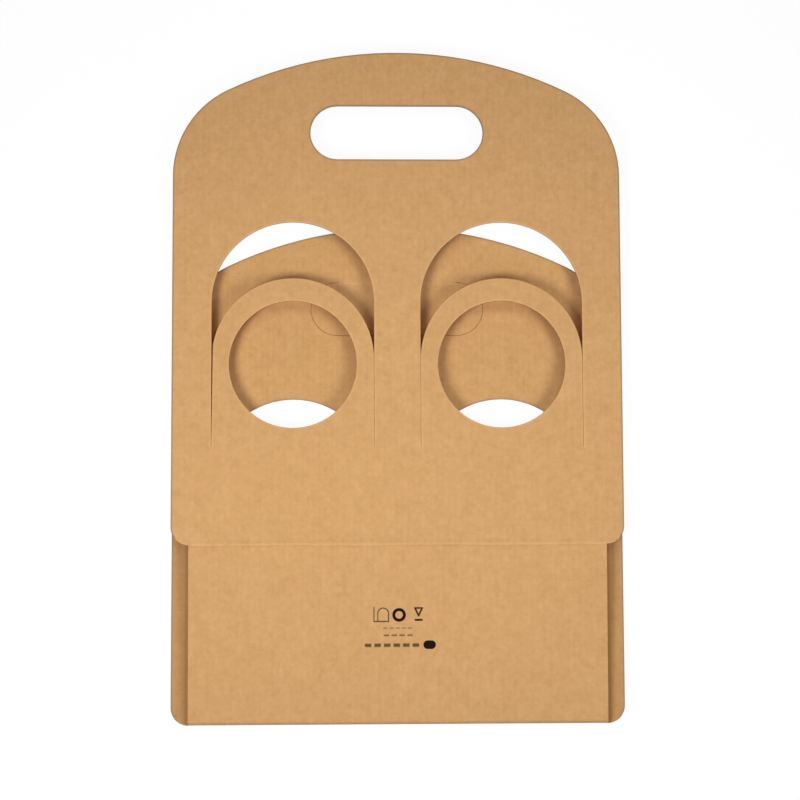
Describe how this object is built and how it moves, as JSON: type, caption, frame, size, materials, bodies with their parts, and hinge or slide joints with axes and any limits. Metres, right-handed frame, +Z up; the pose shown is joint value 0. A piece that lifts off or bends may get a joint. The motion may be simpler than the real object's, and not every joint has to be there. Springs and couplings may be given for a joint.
{
  "type": "folded cardboard cup carrier",
  "caption": "Die-cut corrugated board carrier for takeaway cups, packed flat: domed panels with hand holes and cup rings, folded double on a shared base.",
  "frame": {"origin": "under the middle of the packed carrier, on the surface that it lies on", "axes": "X across the carrier, +Y from the folded edge towards the hand holes, +Z up"},
  "size_m": [0.254, 0.3807, 0.0101],
  "materials": {
    "kraft_board": "matt uncoated kraft liner"
  },
  "bodies": {
    "root": {"cup_carrier": "kraft_board"}
  },
  "joints": []
}
